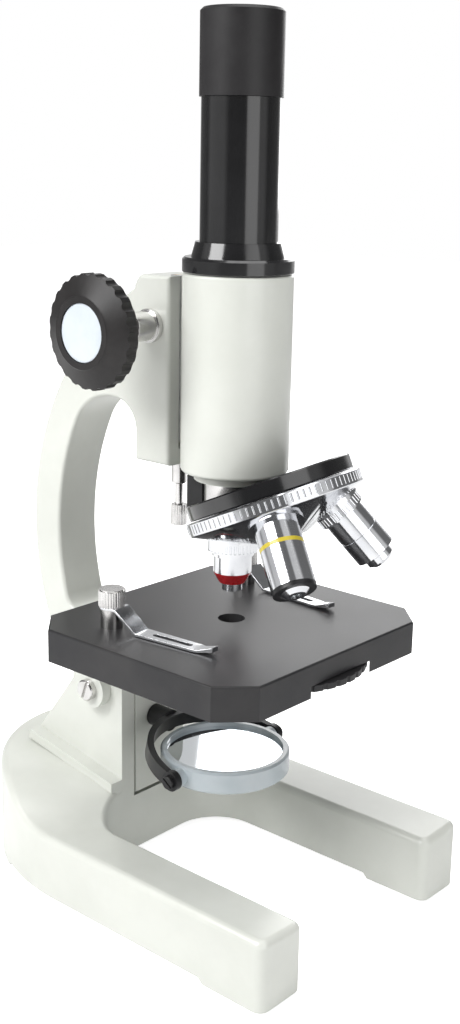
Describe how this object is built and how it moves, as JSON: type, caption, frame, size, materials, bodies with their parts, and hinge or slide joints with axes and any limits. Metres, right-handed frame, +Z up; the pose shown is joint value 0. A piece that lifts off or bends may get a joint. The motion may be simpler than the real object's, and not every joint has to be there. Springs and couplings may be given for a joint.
{
  "type": "student microscope",
  "caption": "Upright student microscope with horseshoe base, inclining arm, rack focus, revolving nosepiece, clip stage and swinging mirror.",
  "frame": {"origin": "on the table under the middle of the base", "axes": "+Z up, -Y towards the open end of the base"},
  "size_m": [0.121, 0.178, 0.3311],
  "materials": {
    "enamel": "gloss",
    "rubber": "matte",
    "nickel": "polished",
    "fibre": "matte",
    "stage_black": "satin",
    "steel": "satin",
    "knob_black": "satin",
    "inlay": "gloss",
    "brass": "satin",
    "satin_black": "satin",
    "tube_black": "gloss",
    "glass": "polished",
    "chromed": "polished",
    "band_red": "gloss",
    "band_yellow": "gloss",
    "spring_steel": "polished",
    "pale_plastic": "gloss",
    "mirror_glass": "polished"
  },
  "bodies": {
    "base": {"base_casting": "enamel", "rubber_feet": "rubber", "tilt_bolt": "nickel", "tilt_nut": "nickel", "friction_washers": "fibre"},
    "arm": {"arm": "enamel", "stage": "stage_black", "stage_screws": "nickel", "left_clip_post": "nickel", "right_clip_post": "nickel", "diaphragm_pivot": "nickel", "stop_lock_nut": "nickel", "left_shaft_bush": "nickel", "right_shaft_bush": "nickel"},
    "focus_pinion": {"pinion_shaft": "steel", "left_knob": "knob_black", "right_knob": "knob_black", "left_knob_inlay": "inlay", "right_knob_inlay": "inlay", "knob_set_screws": "steel"},
    "head": {"head_casting": "enamel", "slide_bar": "steel", "focus_rack": "brass", "slide_screws": "nickel", "tube_flange": "satin_black", "body_tube": "tube_black", "nosepiece_mount": "nickel", "nosepiece_plate": "satin_black", "click_spring": "satin_black", "turret_pivot_screw": "nickel"},
    "eyepiece": {"eyepiece_cap": "satin_black", "eyepiece_barrel": "steel", "eye_lens": "glass", "field_lens": "glass", "field_stop": "satin_black"},
    "turret": {"turret": "chromed", "objective_4x": "chromed", "objective_4x_band": "band_red", "objective_4x_lens": "glass", "objective_10x": "chromed", "objective_10x_band": "band_yellow", "objective_10x_ring": "satin_black", "objective_10x_lens": "glass", "objective_40x": "chromed", "objective_40x_lens": "glass"},
    "left_clip": {"left_clip": "spring_steel"},
    "right_clip": {"right_clip": "spring_steel"},
    "diaphragm": {"disc_diaphragm": "stage_black"},
    "mirror_fork": {"mirror_fork": "satin_black", "fork_pin": "steel", "mirror_pivot_screws": "satin_black"},
    "mirror": {"mirror_ring": "pale_plastic", "plane_mirror": "mirror_glass", "concave_mirror": "mirror_glass"},
    "stop_screw": {"stop_screw": "nickel"}
  },
  "joints": [
    {"name": "inclination", "type": "hinge", "parent": "base", "child": "arm", "pos_m": [0, 0.03575, 0.0734], "axis": [-1, 0, 0], "range_deg": [0, 45]},
    {"name": "focus_knob", "type": "hinge", "parent": "arm", "child": "focus_pinion", "pos_m": [0, 0.0132, 0.2209], "axis": [-1, 0, 0], "range_deg": [-27.28, 409.26]},
    {"name": "focus_slide", "type": "slide", "parent": "arm", "child": "head", "axis": [0, 0, 1], "range_m": [-0.002, 0.03]},
    {"name": "nosepiece_turn", "type": "hinge", "parent": "head", "child": "turret", "pos_m": [0.00236, -0.04086, 0.1535], "axis": [-0.0461, 0.4062, 0.9126], "continuous": true},
    {"name": "eyepiece_draw", "type": "slide", "parent": "head", "child": "eyepiece", "axis": [0, 0, 1], "range_m": [0, 0.036]},
    {"name": "left_clip_swing", "type": "hinge", "parent": "arm", "child": "left_clip", "pos_m": [-0.038, 0.006, 0.1195], "axis": [0, 0, 1], "range_deg": [-75, 15]},
    {"name": "right_clip_swing", "type": "hinge", "parent": "arm", "child": "right_clip", "pos_m": [0.038, 0.006, 0.1195], "axis": [0, 0, 1], "range_deg": [-15, 75]},
    {"name": "diaphragm_turn", "type": "hinge", "parent": "arm", "child": "diaphragm", "pos_m": [0, -0.04, 0.1018], "axis": [0, 0, 1], "continuous": true},
    {"name": "fork_swing", "type": "hinge", "parent": "arm", "child": "mirror_fork", "pos_m": [0, 0.0113, 0.05994], "axis": [0, 1, 0], "range_deg": [-60, 60]},
    {"name": "mirror_tilt", "type": "hinge", "parent": "mirror_fork", "child": "mirror", "pos_m": [0, -0.018, 0.0537], "axis": [1, 0, 0], "continuous": true},
    {"name": "stop_travel", "type": "slide", "parent": "arm", "child": "stop_screw", "axis": [0, 0, 1], "range_m": [-0.003, 0]}
  ],
  "couplings": [
    {"joint": "focus_knob", "follows": "focus_slide", "rad_per_m": 238.1}
  ]
}
